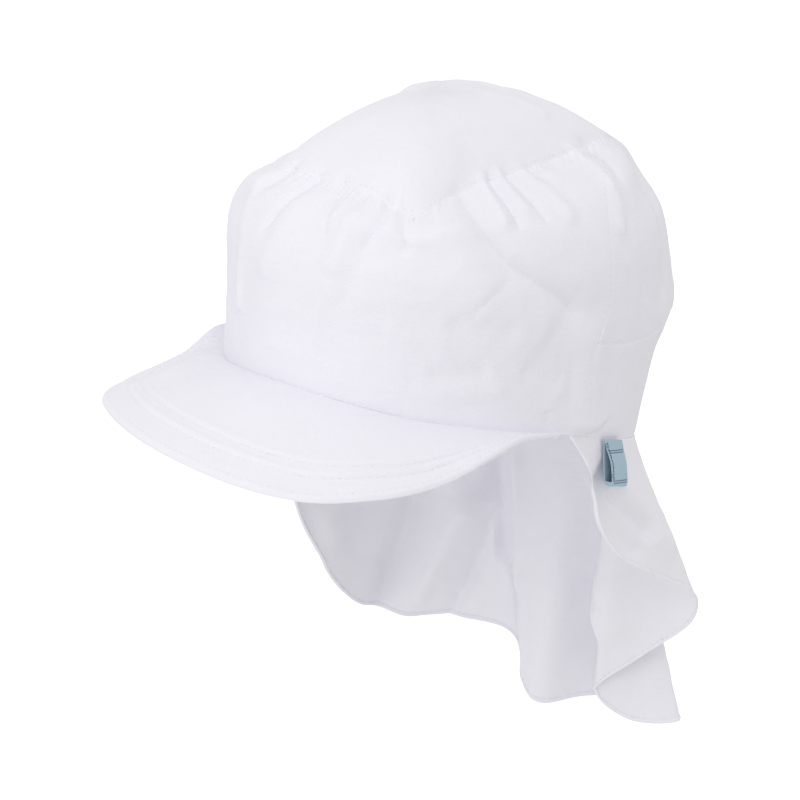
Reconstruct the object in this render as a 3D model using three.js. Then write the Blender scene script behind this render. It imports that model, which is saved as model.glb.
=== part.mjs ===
// A child's cotton sun cap with a soft peak and a neck flap, in the shape that it has on a head.
// Millimetres, +Z up. The front faces -Y and the wearer's left is +X.
// The origin is the middle of the head opening.
import * as THREE from "three";

// Driving dimensions
const headLength = 172; // the head opening, front to back
const headWidth = 146; // the head opening, side to side
const rimTilt = 31; // the rim's front stands this far above the origin, and its back about as far below
const crownHeight = 120; // from the origin to the top of the crown
const bandHeight = 38.5; // the elastic band at the back
const clothThickness = 1.6; // a wall of doubled cotton
const peakLength = 54; // from the rim to the peak's edge, at the front
const peakDroop = 20; // how far the peak's edge hangs below the rim
const peakThickness = 3.2;
const flapLength = 120; // from the band down to the hem, at the back
const flapThickness = 1.2;
const hemThickness = 2; // the rolled hem round the flap's free edge
const hemWidth = 3;
const labelWidth = 14.5;
const labelLength = 19;
const labelThickness = 1.6; // two plies and the fold between them
const labelFlare = 3.5; // the loop's lower end stands this much further out than its top
const seamGap = 0.3; // clearance between two pieces that are sewn together

// Where pieces begin and end round the head, in degrees from the front towards the wearer's left
const peakEnd = 81;
const flapStart = 88;
const labelAngle = 108;

// Form of the crown

// The rim's height, as a share of rimTilt, by the turn from the front to either side. The first
// and last rows mirror their neighbours, so that the course is smooth at the front and back.
const rimCourse = [
  { turn: -15, rise: 0.88 },
  { turn: 0, rise: 0.94 },
  { turn: 15, rise: 0.88 },
  { turn: 27, rise: 0.766 },
  { turn: 38, rise: 0.64 },
  { turn: 50, rise: 0.523 },
  { turn: 60, rise: 0.406 },
  { turn: 75, rise: 0.24 },
  { turn: 90, rise: 0.03 },
  { turn: 110, rise: -0.287 },
  { turn: 140, rise: -0.73 },
  { turn: 180, rise: -0.98 },
  { turn: 220, rise: -0.73 },
];

// Outlines of the crown, from the rim to the seam of the top panel. halfWidth is a share of the
// head's width, and front and back are shares of its length. square is the exponent of the
// outline: 2 is an ellipse, and more is boxier. The rise columns say how far the outline has come
// from the rim to the height of the crown, at its front, side and back.
const crownOutlines = [
  { up: 0, halfWidth: 0.5, front: 0.5, back: 0.5, square: 2,
    frontRise: 0, sideRise: 0, backRise: 0 },
  { up: 0.25, halfWidth: 0.5, front: 0.49, back: 0.6, square: 2,
    frontRise: 0.14, sideRise: 0.17, backRise: 0.25 },
  { up: 0.38, halfWidth: 0.503, front: 0.482, back: 0.667, square: 2.02,
    frontRise: 0.235, sideRise: 0.275, backRise: 0.335 },
  { up: 0.5, halfWidth: 0.505, front: 0.475, back: 0.654, square: 2.05,
    frontRise: 0.33, sideRise: 0.38, backRise: 0.42 },
  { up: 0.7, halfWidth: 0.495, front: 0.455, back: 0.6, square: 2.15,
    frontRise: 0.51, sideRise: 0.56, backRise: 0.605 },
  { up: 0.88, halfWidth: 0.42, front: 0.395, back: 0.495, square: 2.6,
    frontRise: 0.67, sideRise: 0.71, backRise: 0.755 },
  { up: 1, halfWidth: 0.262, front: 0.312, back: 0.395, square: 5,
    frontRise: 0.765, sideRise: 0.8, backRise: 0.84 },
];

// Places where the top panel's seam is pulled out and down. reach and drop are shares of
// crownHeight, spread is how many degrees they take and upSpread how much of up.
const topCorners = [
  { angle: 36, reach: 0.03, drop: 0.035, spread: 9, upSpread: 0.12 },
  { angle: -62, reach: 0, drop: 0.028, spread: 16, upSpread: 0.14 },
];
const domePower = 2.3; // 2 is a parabolic top, and more is flatter in the middle

// Folds of the crown. Each runs between two places, given by their angle and up, and pushes the
// cloth out by its depth, or in where that is negative. width is across the fold. Both are shares
// of crownHeight.
const crownFolds = [
  { fromAngle: 56, from: 0.98, toAngle: 66, to: 0.78, width: 0.05, depth: -0.016 },
  { fromAngle: 66, from: 0.78, toAngle: 95, to: 0.46, width: 0.06, depth: -0.02 },
  { fromAngle: 44, from: 0.9, toAngle: 60, to: 0.6, width: 0.07, depth: 0.014 },
  { fromAngle: 25, from: 1, toAngle: 20, to: 0.72, width: 0.03, depth: -0.016 },
  { fromAngle: 30, from: 0.98, toAngle: 36, to: 0.76, width: 0.03, depth: -0.012 },
  { fromAngle: 18, from: 0.92, toAngle: 14, to: 0.58, width: 0.06, depth: 0.016 },
  { fromAngle: 14, from: 0.58, toAngle: 3, to: 0.08, width: 0.07, depth: 0.014 },
  { fromAngle: -12, from: 0.96, toAngle: -17, to: 0.6, width: 0.05, depth: 0.014 },
  { fromAngle: -17, from: 0.6, toAngle: -30, to: 0.12, width: 0.06, depth: 0.014 },
  { fromAngle: 46, from: 0.5, toAngle: 70, to: 0.46, width: 0.04, depth: -0.008 },
  { fromAngle: 40, from: 0.25, toAngle: 57, to: 0.29, width: 0.04, depth: -0.008 },
  { fromAngle: -56, from: 0.95, toAngle: -78, to: 0.6, width: 0.06, depth: -0.016 },
  { fromAngle: -78, from: 0.6, toAngle: -98, to: 0.36, width: 0.06, depth: -0.014 },
  { fromAngle: 150, from: 0.95, toAngle: 138, to: 0.5, width: 0.06, depth: -0.014 },
  { fromAngle: 176, from: 0.92, toAngle: 172, to: 0.45, width: 0.08, depth: 0.014 },
  { fromAngle: 205, from: 0.95, toAngle: 218, to: 0.5, width: 0.06, depth: -0.014 },
];

// Stretches of the top seam where the wall is gathered. pleats is the number of ripples and depth
// their height, as a share of crownHeight. length is how much of up they run down the wall.
const gathers = [
  { from: -44, to: 18, pleats: 6, depth: 0.012, length: 0.16 },
  { from: 22, to: 48, pleats: 3, depth: 0.014, length: 0.2 },
  { from: 74, to: 116, pleats: 4, depth: 0.013, length: 0.22 },
  { from: 130, to: 152, pleats: 2, depth: 0.013, length: 0.25 },
  { from: 158, to: 202, pleats: 4, depth: 0.01, length: 0.18 },
  { from: 208, to: 230, pleats: 2, depth: 0.013, length: 0.25 },
  { from: 244, to: 286, pleats: 4, depth: 0.013, length: 0.22 },
];

// The course of the seam between the front and back panels, in degrees from the front.
const sideSeamCourse = [
  { up: 0, angle: 96 },
  { up: 0.2, angle: 95.5 },
  { up: 0.4, angle: 95.5 },
  { up: 0.48, angle: 101 },
  { up: 0.56, angle: 105 },
  { up: 0.72, angle: 108 },
  { up: 0.88, angle: 119 },
  { up: 1, angle: 143 },
];

// The height of the band's upper seam, as a share of bandHeight, by the turn from the front
const bandCourse = [
  { turn: 90, rise: 1 },
  { turn: 112, rise: 1 },
  { turn: 127, rise: 1.09 },
  { turn: 143, rise: 1.18 },
  { turn: 160, rise: 1.2 },
  { turn: 180, rise: 1.2 },
  { turn: 200, rise: 1.2 },
];

// The peak's edge, by angle: how far it reaches out from the rim, as a share of peakLength, and
// how far it hangs below the rim, as a share of peakDroop.
const peakEdge = [
  { angle: -90, out: 0.05, drop: -0.1 },
  { angle: -68, out: 0.24, drop: -0.32 },
  { angle: -55, out: 0.4, drop: 0.19 },
  { angle: -40, out: 0.71, drop: 0.345 },
  { angle: -25, out: 0.94, drop: 0.3 },
  { angle: 0, out: 0.99, drop: 0.65 },
  { angle: 20, out: 0.99, drop: 0.75 },
  { angle: 33, out: 0.8, drop: 0.62 },
  { angle: 45, out: 0.54, drop: 0.42 },
  { angle: 57, out: 0.31, drop: 0.1 },
  { angle: 68, out: 0.11, drop: -0.06 },
  { angle: 90, out: 0.04, drop: -0.06 },
];

const peakStraightness = 0.3; // how much of the fall is even
const peakCurl = 1.7; // the power by which the rest of it steepens
const peakEdgeThinning = 0.75; // the edge's thickness over the peak's
const peakEndThinning = 0.4; // the thickness over the peak's where it ends at the sides
const peakEndTurn = 14; // the thinning's length at either end, in degrees

// The flap's hem, from the wearer's left ear round the back to the right ear. angle is where the
// cloth above a row hangs from the band. across is a share of half the head's width, along of
// half its length, and drop of flapLength.
const hemRows = [
  { angle: 88, across: 1.0, along: -0.02, drop: 0 },
  { angle: 93, across: 1.0, along: 0.09, drop: 0.12 },
  { angle: 98, across: 1.01, along: 0.14, drop: 0.25 },
  { angle: 103, across: 1.0, along: 0.2, drop: 0.37 },
  { angle: 108, across: 0.99, along: 0.36, drop: 0.5 },
  { angle: 120, across: 0.98, along: 0.62, drop: 0.63 },
  { angle: 131, across: 0.97, along: 0.89, drop: 0.76 },
  { angle: 137, across: 0.86, along: 0.99, drop: 0.9 },
  { angle: 143, across: 0.58, along: 0.92, drop: 1.06 },
  { angle: 149, across: 0.34, along: 0.84, drop: 1.21 },
  { angle: 155, across: 0.44, along: 0.99, drop: 1.32 },
  { angle: 161, across: 0.64, along: 1.14, drop: 1.31 },
  { angle: 166, across: 0.46, along: 1.14, drop: 1.29 },
  { angle: 172, across: 0.16, along: 0.99, drop: 1.3 },
  { angle: 180, across: 0, along: 0.79, drop: 1.31 },
  { angle: 190, across: -0.12, along: 0.8, drop: 1.26 },
  { angle: 196, across: -0.25, along: 0.88, drop: 1.16 },
  { angle: 202, across: -0.38, along: 0.86, drop: 1.11 },
  { angle: 216, across: -0.71, along: 0.73, drop: 1.1 },
  { angle: 228, across: -0.9, along: 0.56, drop: 1.08 },
  { angle: 240, across: -0.97, along: 0.36, drop: 1.0 },
  { angle: 252, across: -0.98, along: 0.14, drop: 0.8 },
  { angle: 262, across: -0.99, along: -0.03, drop: 0.5 },
  { angle: 272, across: -1, along: -0.05, drop: 0.01 },
];

// Folds of the flap, as those of the crown are. from and to are shares of the way from the band
// to the hem, and width and depth are shares of flapLength.
const flapFolds = [
  { fromAngle: 219, from: 0.25, toAngle: 235, to: 1, width: 0.06, depth: 0.045 },
  { fromAngle: 211, from: 0.4, toAngle: 216, to: 1, width: 0.05, depth: -0.04 },
  { fromAngle: 203, from: 0.3, toAngle: 205, to: 1, width: 0.05, depth: 0.04 },
  { fromAngle: 149, from: 0.3, toAngle: 149, to: 0.7, width: 0.1, depth: -0.045 },
  { fromAngle: 246, from: 0.35, toAngle: 252, to: 1, width: 0.09, depth: -0.03 },
  { fromAngle: 102, from: 0.4, toAngle: 112, to: 0.9, width: 0.07, depth: -0.02 },
];

const mostHem = 0.3; // the most of the flap's length that the hem takes, where the flap is short
const flapSlant = 1.2; // the cloth's length over the hem's drop, as the flap hangs aslant

// Puckers that the elastic draws into the band and the panel above it. depth is a share of
// crownHeight and reach a share of up.
const bandPuckers = { count: 9, depth: 0.007, reach: 0.12 };

// Mesh densities, in columns round the head and rows up or down. front's rows are the sum of
// band's and back's.
const density = {
  front: [92, 11],
  back: [40, 7],
  band: [40, 4],
  top: [48, 5],
  peak: [36, 6],
  flap: [72, 10],
  label: [3, 6],
};

// Shares of up over which the relief fades out at the rim, and of down at the flap's top
const rimFade = 0.17;
const flapTopFade = 0.25;

const degrees = Math.PI / 180;
const mix = (a, b, share) => a + (b - a) * share;
const clamp01 = (value) => Math.min(1, Math.max(0, value));
const smooth = (share) => clamp01(share) ** 2 * (3 - 2 * clamp01(share));

// A column of a table at a value of its key column, on a smooth curve through the rows.
function readTable(rows, key, column, value) {
  const last = rows.length - 2;
  let i = 0;
  while (i < last && value > rows[i + 1][key]) i++;
  const slope = (k) => {
    const before = rows[Math.max(k - 1, 0)];
    const after = rows[Math.min(k + 1, rows.length - 1)];
    return (after[column] - before[column]) / (after[key] - before[key]);
  };
  const span = rows[i + 1][key] - rows[i][key];
  const t = clamp01((value - rows[i][key]) / span);
  const [from, to] = [rows[i][column], rows[i + 1][column]];
  return (
    from * (1 + 2 * t) * (1 - t) ** 2 +
    to * t * t * (3 - 2 * t) +
    span * (slope(i) * t * (1 - t) ** 2 - slope(i + 1) * t * t * (1 - t))
  );
}

// The turn from a place round the head to an angle, in degrees from -180 to 180.
const turnFrom = (place, angle) => ((((angle / degrees - place + 180) % 360) + 360) % 360) - 180;

const rimHeight = (angle) =>
  rimTilt * readTable(rimCourse, "turn", "rise", Math.abs(turnFrom(0, angle)));

// A value that goes smoothly round the head, from its front, side and back values.
function roundTheHead(angle, front, side, back) {
  const saddle = ((front + back) / 2 - side) / 2;
  return side + saddle + ((front - back) / 2) * Math.cos(angle) + saddle * Math.cos(2 * angle);
}

// The crown without its folds. up runs from 0 at the rim to 1 at the seam of the top panel, and
// on to 2 at the middle of the top. Angles are in radians.
function crownForm(angle, up) {
  const column = (name) => readTable(crownOutlines, "up", name, up);
  const inward = clamp01(up - 1);
  const square = mix(column("square"), 2, smooth(inward * 1.2));
  const across = Math.abs(Math.sin(angle)) / (column("halfWidth") * headWidth);
  const along =
    Math.abs(Math.cos(angle)) / (column(Math.cos(angle) > 0 ? "front" : "back") * headLength);
  const reach = (across ** square + along ** square) ** (-1 / square);
  const rise = roundTheHead(angle, column("frontRise"), column("sideRise"), column("backRise"));
  let radius = reach * (1 - inward);
  let edgeHeight = mix(rimHeight(angle), crownHeight, rise);
  for (const corner of topCorners) {
    const below = (1 - up) / corner.upSpread;
    const away = (turnFrom(corner.angle, angle) / corner.spread) ** 2 + below ** 2;
    const pull = Math.exp(-away) * (1 - inward) * crownHeight;
    radius += corner.reach * pull;
    edgeHeight -= corner.drop * pull;
  }
  const height = mix(crownHeight, edgeHeight, (1 - inward) ** domePower);
  return new THREE.Vector3(radius * Math.sin(angle), -radius * Math.cos(angle), height);
}

function crownNormal(angle, up) {
  const turn = 0.02;
  const step = 0.03;
  if (up > 2 - step / 2) return new THREE.Vector3(0, 0, 1);
  const across = crownForm(angle + turn, up).sub(crownForm(angle - turn, up));
  const upwards = crownForm(angle, Math.min(up + step, 2));
  upwards.sub(crownForm(angle, Math.max(up - step, 0)));
  return across.cross(upwards).normalize();
}

// How far a table's folds push the cloth out, as a share. girth is the cloth's half width and
// height its length, both as shares of the length that the table's shares are of.
function foldRelief(folds, angle, place, girth, height) {
  let relief = 0;
  for (const { fromAngle, from, toAngle, to, width, depth } of folds) {
    const start = new THREE.Vector2(fromAngle * degrees * girth, from * height);
    const end = new THREE.Vector2(toAngle * degrees * girth, to * height);
    const turn = fromAngle + turnFrom(fromAngle, angle);
    const here = new THREE.Vector2(turn * degrees * girth, place * height);
    const run = end.clone().sub(start);
    const along = here.clone().sub(start).dot(run) / run.lengthSq();
    const aside = here.distanceTo(start.addScaledVector(run, clamp01(along))) / width;
    relief += depth * Math.exp(-aside * aside);
  }
  return relief;
}

// 1 in the middle of a stretch and 0 at its ends, over a share of it at each end.
const endFade = (along, share) => smooth(along / share) * smooth((1 - along) / share);

function gatherRelief(angle, up) {
  let relief = 0;
  for (const { from, to, pleats, depth, length } of gathers) {
    const along = ((turnFrom(from, angle) + 360) % 360) / (to - from);
    if (along >= 1) continue;
    const down = (1 - up) / length;
    const fade = Math.exp(-down * down) * endFade(along, 0.25);
    relief += depth * fade * Math.cos(2 * Math.PI * pleats * along);
  }
  return relief;
}

function puckerRelief(angle, up) {
  const [from, to] = backStretch(0);
  const along = (((angle / degrees + 360) % 360) - from) / (to - from);
  if (along <= 0 || along >= 1) return 0;
  const away = (up - bandTop(angle)) / bandPuckers.reach;
  const fade = Math.exp(-away * away) * endFade(along, 0.12);
  return bandPuckers.depth * fade * Math.cos(2 * Math.PI * bandPuckers.count * along);
}

// How far the crown's folds, gathers and puckers push the cloth out. The rim and the top stay.
function crownRelief(angle, up) {
  if (up > 1.02) return 0;
  const folds = foldRelief(crownFolds, angle, up, headWidth / 2 / crownHeight, 1);
  const relief = folds + gatherRelief(angle, up) + puckerRelief(angle, up);
  return relief * crownHeight * smooth(up / rimFade);
}

const crownPoint = (angle, up, depth) =>
  crownForm(angle, up).addScaledVector(crownNormal(angle, up), crownRelief(angle, up) - depth);

// The share of up that takes a distance along the wall.
function upFor(angle, up, distance) {
  const step = 0.01;
  const climb = crownForm(angle, up + step / 2).distanceTo(crownForm(angle, up - step / 2));
  return (distance * step) / climb;
}

// A closed wall. point(column, row, inner) gives a point of its outer face, or of its inner face
// where inner is 1. Columns run towards the wearer's left at the front, and rows run up.
function closedWall([columns, rows], point, wraps = false) {
  const points = [];
  for (const inner of [0, 1])
    for (let i = 0; i <= columns; i++)
      for (let j = 0; j <= rows; j++) points.push(point(i / columns, j / rows, inner));
  const sheet = (columns + 1) * (rows + 1);
  const index = (inner, i, j) => inner * sheet + (wraps ? i % columns : i) * (rows + 1) + j;
  const faces = [];
  const quad = (...corners) => {
    const [a, b, c, d] = corners;
    for (const face of [
      [a, b, c],
      [a, c, d],
    ]) {
      const [p, q, r] = face.map((k) => points[k]);
      const area = q.clone().sub(p).cross(r.clone().sub(p)).length();
      if (area > 1e-6) faces.push(...face);
    }
  };
  for (let i = 0; i < columns; i++)
    for (let j = 0; j < rows; j++) {
      quad(index(0, i, j), index(0, i + 1, j), index(0, i + 1, j + 1), index(0, i, j + 1));
      quad(index(1, i, j), index(1, i, j + 1), index(1, i + 1, j + 1), index(1, i + 1, j));
    }
  for (let i = 0; i < columns; i++) {
    quad(index(1, i, 0), index(1, i + 1, 0), index(0, i + 1, 0), index(0, i, 0));
    quad(index(0, i, rows), index(0, i + 1, rows), index(1, i + 1, rows), index(1, i, rows));
  }
  if (!wraps) {
    for (let j = 0; j < rows; j++) {
      quad(index(0, 0, j), index(0, 0, j + 1), index(1, 0, j + 1), index(1, 0, j));
      const end = [index(1, columns, j), index(1, columns, j + 1)];
      quad(...end, index(0, columns, j + 1), index(0, columns, j));
    }
  }
  return new THREE.BufferGeometry().setFromPoints(points).setIndex(faces);
}

const sideSeam = (up) => readTable(sideSeamCourse, "up", "angle", up);
const seamTurn = seamGap / (headWidth / 2) / degrees;
const frontStretch = (up) => [-sideSeam(up), sideSeam(up)];
const backStretch = (up) => [sideSeam(up) + seamTurn, 360 - sideSeam(up) - seamTurn];
const allRound = () => [0, 360];

// A patch of the crown. stretch gives the angles where it begins and ends, and rise gives up from
// an angle and the share of the patch's rows.
function crownPatch(size, stretch, rise, wraps = false) {
  return closedWall(size, (c, r, inner) => {
    const roughUp = rise(mix(...stretch(0.5), c) * degrees, r);
    const angle = mix(...stretch(roughUp), c) * degrees;
    return crownPoint(angle, rise(angle, r), inner * clothThickness);
  }, wraps);
}

const bandTop = (angle) => {
  const height = bandHeight * readTable(bandCourse, "turn", "rise", Math.abs(turnFrom(0, angle)));
  const rimRise = height / (crownHeight - rimHeight(angle));
  return readTable([
    { rise: 0, up: 0 },
    ...crownOutlines.slice(1).map((row) => ({
      rise: roundTheHead(angle, row.frontRise, row.sideRise, row.backRise),
      up: row.up,
    })),
  ], "rise", "up", rimRise);
};
const belowTopSeam = (angle) => 1 - upFor(angle, 0.99, seamGap / 2);
const aboveTopSeam = (angle) => 1 + upFor(angle, 1.01, seamGap / 2);
const aboveBand = (angle) => bandTop(angle) + upFor(angle, bandTop(angle), seamGap);

const bandRise = (angle, r) => mix(0, bandTop(angle), r);
const backRise = (angle, r) => mix(aboveBand(angle), belowTopSeam(angle), r);
const topRise = (angle, r) => mix(aboveTopSeam(angle), 2, r);

// The front panel's rows meet those of the band and the back panel along the side seams.
function frontRise(angle, r) {
  const bandShare = density.band[1] / density.front[1];
  return r < bandShare
    ? bandRise(angle, r / bandShare)
    : mix(bandTop(angle), belowTopSeam(angle), (r - bandShare) / (1 - bandShare));
}

// The peak. out runs from 0 at the rim's inner face to 1 at the edge. It lies flat under the
// wall's lower edge and falls away beyond it, more steeply towards the peak's edge.
function peakPoint(angle, out, depth) {
  const place = angle / degrees;
  const root = crownForm(angle, 0);
  const outward = new THREE.Vector3(Math.sin(angle), -Math.cos(angle), 0);
  const overhang = readTable(peakEdge, "angle", "out", place) * peakLength;
  const fall = readTable(peakEdge, "angle", "drop", place) * peakDroop;
  const distance = mix(-clothThickness, overhang, out);
  const past = clamp01((distance - clothThickness / 2) / (overhang - clothThickness / 2));
  const point = root.addScaledVector(outward, distance);
  point.z -= seamGap + fall * mix(past ** peakCurl, past, peakStraightness) + depth;
  return point;
}

const peakShape = ([columns, rows]) =>
  closedWall([columns, rows], (c, r, inner) => {
    const angle = mix(-peakEnd, peakEnd, c) * degrees;
    const inside = (peakEnd - Math.abs(angle / degrees)) / peakEndTurn;
    const thinning = mix(peakEndThinning, 1, smooth(inside)) * mix(peakEdgeThinning, 1, smooth(3 * r));
    return peakPoint(angle, 1 - r, inner * peakThickness * thinning);
  });

// The flap without its folds. down runs from 0 at the band to 1 at the hem.
function flapForm(angle, down) {
  const column = (name) => readTable(hemRows, "angle", name, angle / degrees);
  const top = crownForm(angle, 0);
  top.z -= seamGap;
  const hem = new THREE.Vector3(
    (column("across") * headWidth) / 2,
    (column("along") * headLength) / 2,
    -column("drop") * flapLength,
  );
  return top.lerp(hem, down);
}

function flapNormal(angle, down) {
  const turn = 0.4 * degrees;
  const step = 0.02;
  const first = Math.max(angle - turn, flapStart * degrees);
  const last = Math.min(angle + turn, (360 - flapStart) * degrees);
  const across = flapForm(last, down).sub(flapForm(first, down));
  const upwards = flapForm(angle, Math.max(down - step, 0));
  upwards.sub(flapForm(angle, Math.min(down + step, 1)));
  return across.cross(upwards).normalize();
}

function flapPoint(angle, down, depth) {
  const folds = foldRelief(flapFolds, angle, down, headWidth / 2 / flapLength, flapSlant);
  const relief = folds * flapLength * smooth(down / flapTopFade);
  return flapForm(angle, down).addScaledVector(flapNormal(angle, down), relief - depth);
}

const flapDrop = (angle) => flapForm(angle, 0).distanceTo(flapForm(angle, 1));

const flapShape = ([columns, rows]) =>
  closedWall([columns, rows], (c, r, inner) => {
    const angle = mix(flapStart, 360 - flapStart, c) * degrees;
    const hemShare = Math.min(hemWidth / flapDrop(angle), mostHem);
    const hemRow = 1 / rows;
    const inHem = r <= hemRow * 1.01;
    const down = inHem
      ? mix(1, 1 - hemShare, r / hemRow)
      : mix(1 - hemShare, 0, (r - hemRow) / (1 - hemRow));
    return flapPoint(angle, down, inner * (inHem ? hemThickness : flapThickness));
  });

// The label, a flat folded loop that hangs straight down from the rim, outside the flap. Its top
// follows the rim, and it stands off more towards its lower end.
const labelShape = ([columns, rows]) => {
  const middle = labelAngle * degrees;
  const halfTurn = labelWidth / headWidth;
  const along = crownForm(middle + halfTurn, 0).sub(crownForm(middle - halfTurn, 0));
  along.setZ(0).normalize();
  const outward = new THREE.Vector3(along.y, -along.x, 0);
  return closedWall([columns, rows], (c, r, inner) => {
    const stand = seamGap + labelFlare * (1 - r) + labelThickness * (1 - inner);
    const point = crownForm(middle, 0).addScaledVector(outward, stand);
    point.addScaledVector(along, (c - 0.5) * labelWidth);
    point.z = rimHeight(mix(middle - halfTurn, middle + halfTurn, c)) - seamGap;
    point.z -= labelLength * (1 - r);
    return point;
  });
};

const white = new THREE.MeshStandardMaterial({ color: 0xf1effb, roughness: 0.85 });
const paleBlue = new THREE.MeshStandardMaterial({ color: 0xa9c6d6, roughness: 0.7 });
const cap = new THREE.Group();
const add = (name, geometry, material = white) => {
  const mesh = new THREE.Mesh(geometry, material);
  mesh.name = name;
  cap.add(mesh);
};

add("front_panel", crownPatch(density.front, frontStretch, frontRise));
add("back_panel", crownPatch(density.back, backStretch, backRise));
add("back_band", crownPatch(density.band, backStretch, bandRise));
add("crown_top", crownPatch(density.top, allRound, topRise, true));
add("peak", peakShape(density.peak));
add("neck_flap", flapShape(density.flap));
add("side_label", labelShape(density.label), paleBlue);

export default cap;
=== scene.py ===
"""Dresses a child's cotton sun cap with a soft peak and a neck flap, and stages it in a studio.

Metres, +Z up. The front faces -Y and the wearer's left is +X. The origin is the middle of the
head opening. Angles are in degrees, from the front towards the wearer's left.
"""

import math

import bpy
import numpy as np
from mathutils import Matrix, Vector


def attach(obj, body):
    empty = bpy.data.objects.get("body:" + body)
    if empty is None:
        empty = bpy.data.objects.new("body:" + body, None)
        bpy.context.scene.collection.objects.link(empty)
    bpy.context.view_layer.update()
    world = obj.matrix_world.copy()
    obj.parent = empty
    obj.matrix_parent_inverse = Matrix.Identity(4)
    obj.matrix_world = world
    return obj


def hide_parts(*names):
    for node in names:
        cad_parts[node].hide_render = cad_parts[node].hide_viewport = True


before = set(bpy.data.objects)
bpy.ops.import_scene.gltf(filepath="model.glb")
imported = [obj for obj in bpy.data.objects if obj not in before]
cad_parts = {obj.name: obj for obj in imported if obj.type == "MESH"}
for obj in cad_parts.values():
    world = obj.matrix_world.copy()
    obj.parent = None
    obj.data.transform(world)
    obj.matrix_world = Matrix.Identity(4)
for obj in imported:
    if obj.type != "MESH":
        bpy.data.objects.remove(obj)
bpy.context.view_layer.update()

MM = 0.001

# Driving dimensions. The solids have the same, but for a flap that is 0.2 mm thicker.
HEAD_LENGTH = 172 * MM
HEAD_WIDTH = 146 * MM
RIM_TILT = 31 * MM
CROWN_HEIGHT = 120 * MM
BAND_HEIGHT = 38.5 * MM
CLOTH_THICKNESS = 1.6 * MM
PEAK_LENGTH = 54 * MM
PEAK_DROOP = 20 * MM
PEAK_THICKNESS = 3.2 * MM
FLAP_LENGTH = 120 * MM
FLAP_THICKNESS = 1.0 * MM
SEAM_GAP = 0.3 * MM

PEAK_END = 81
FLAP_START = 88
LABEL_ANGLE = 108
LABEL_WIDTH = 14.5 * MM
LABEL_LENGTH = 19 * MM
LABEL_THICKNESS = 1.6 * MM
LABEL_OPENING = 2.2 * MM  # between the two plies of the label, at its lower end
ZIGZAG_TURNS = 14


def table(columns, *rows):
    """A table as a dict of its columns."""
    return dict(zip(columns.split(), np.array(rows, float).T))


# The rim's height, as a share of its tilt, by the turn from the front to either side. The first
# and last rows mirror their neighbours.
RIM_COURSE = table(
    "turn rise",
    (-15, 0.88),
    (0, 0.94),
    (15, 0.88),
    (27, 0.766),
    (38, 0.64),
    (50, 0.523),
    (60, 0.406),
    (75, 0.24),
    (90, 0.03),
    (110, -0.287),
    (140, -0.73),
    (180, -0.98),
    (220, -0.73),
)

# Outlines of the crown, from the rim to the seam of the top panel. half_width is a share of the
# head's width, and front and back are shares of its length. square is the exponent of the
# outline. The rise columns say how far it has come from the rim to the crown's height.
CROWN_OUTLINES = table(
    "up half_width front back square front_rise side_rise back_rise",
    (0, 0.5, 0.5, 0.5, 2, 0, 0, 0),
    (0.25, 0.5, 0.49, 0.6, 2, 0.14, 0.17, 0.25),
    (0.38, 0.503, 0.482, 0.667, 2.02, 0.235, 0.275, 0.335),
    (0.5, 0.505, 0.475, 0.654, 2.05, 0.33, 0.38, 0.42),
    (0.7, 0.495, 0.455, 0.6, 2.15, 0.51, 0.56, 0.605),
    (0.88, 0.42, 0.395, 0.495, 2.6, 0.67, 0.71, 0.755),
    (1, 0.262, 0.312, 0.395, 5, 0.765, 0.8, 0.84),
)
# Places where the top panel's seam is pulled out and down
SEAM_PULLS = table(
    "angle reach drop spread up_spread",
    (36, 0.03, 0.035, 9, 0.12),
    (-62, 0, 0.028, 16, 0.14),
)
DOME_POWER = 2.3
SEAM_PASSES = 8  # rounds in which a patch's sides and its ends settle on each other

# The course of the seam between the front and back panels
SIDE_SEAM = table(
    "up angle",
    (0, 96),
    (0.2, 95.5),
    (0.4, 95.5),
    (0.48, 101),
    (0.56, 105),
    (0.72, 108),
    (0.88, 119),
    (1, 143),
)

# The height of the band's upper seam, as a share of the band's, by the turn from the front
BAND_COURSE = table(
    "turn rise", (90, 1), (112, 1), (127, 1.09), (143, 1.18), (160, 1.2), (180, 1.2), (200, 1.2)
)

# The peak's edge, as shares of its length and droop
PEAK_EDGE = table(
    "angle out drop",
    (-90, 0.05, -0.1),
    (-68, 0.24, -0.32),
    (-55, 0.4, 0.19),
    (-40, 0.71, 0.345),
    (-25, 0.94, 0.3),
    (0, 0.99, 0.65),
    (20, 0.99, 0.75),
    (33, 0.8, 0.62),
    (45, 0.54, 0.42),
    (57, 0.31, 0.1),
    (68, 0.11, -0.06),
    (90, 0.04, -0.06),
)
PEAK_STRAIGHTNESS = 0.3
PEAK_CURL = 1.7
PEAK_END_THINNING = 0.4
PEAK_END_TURN = 14

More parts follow.
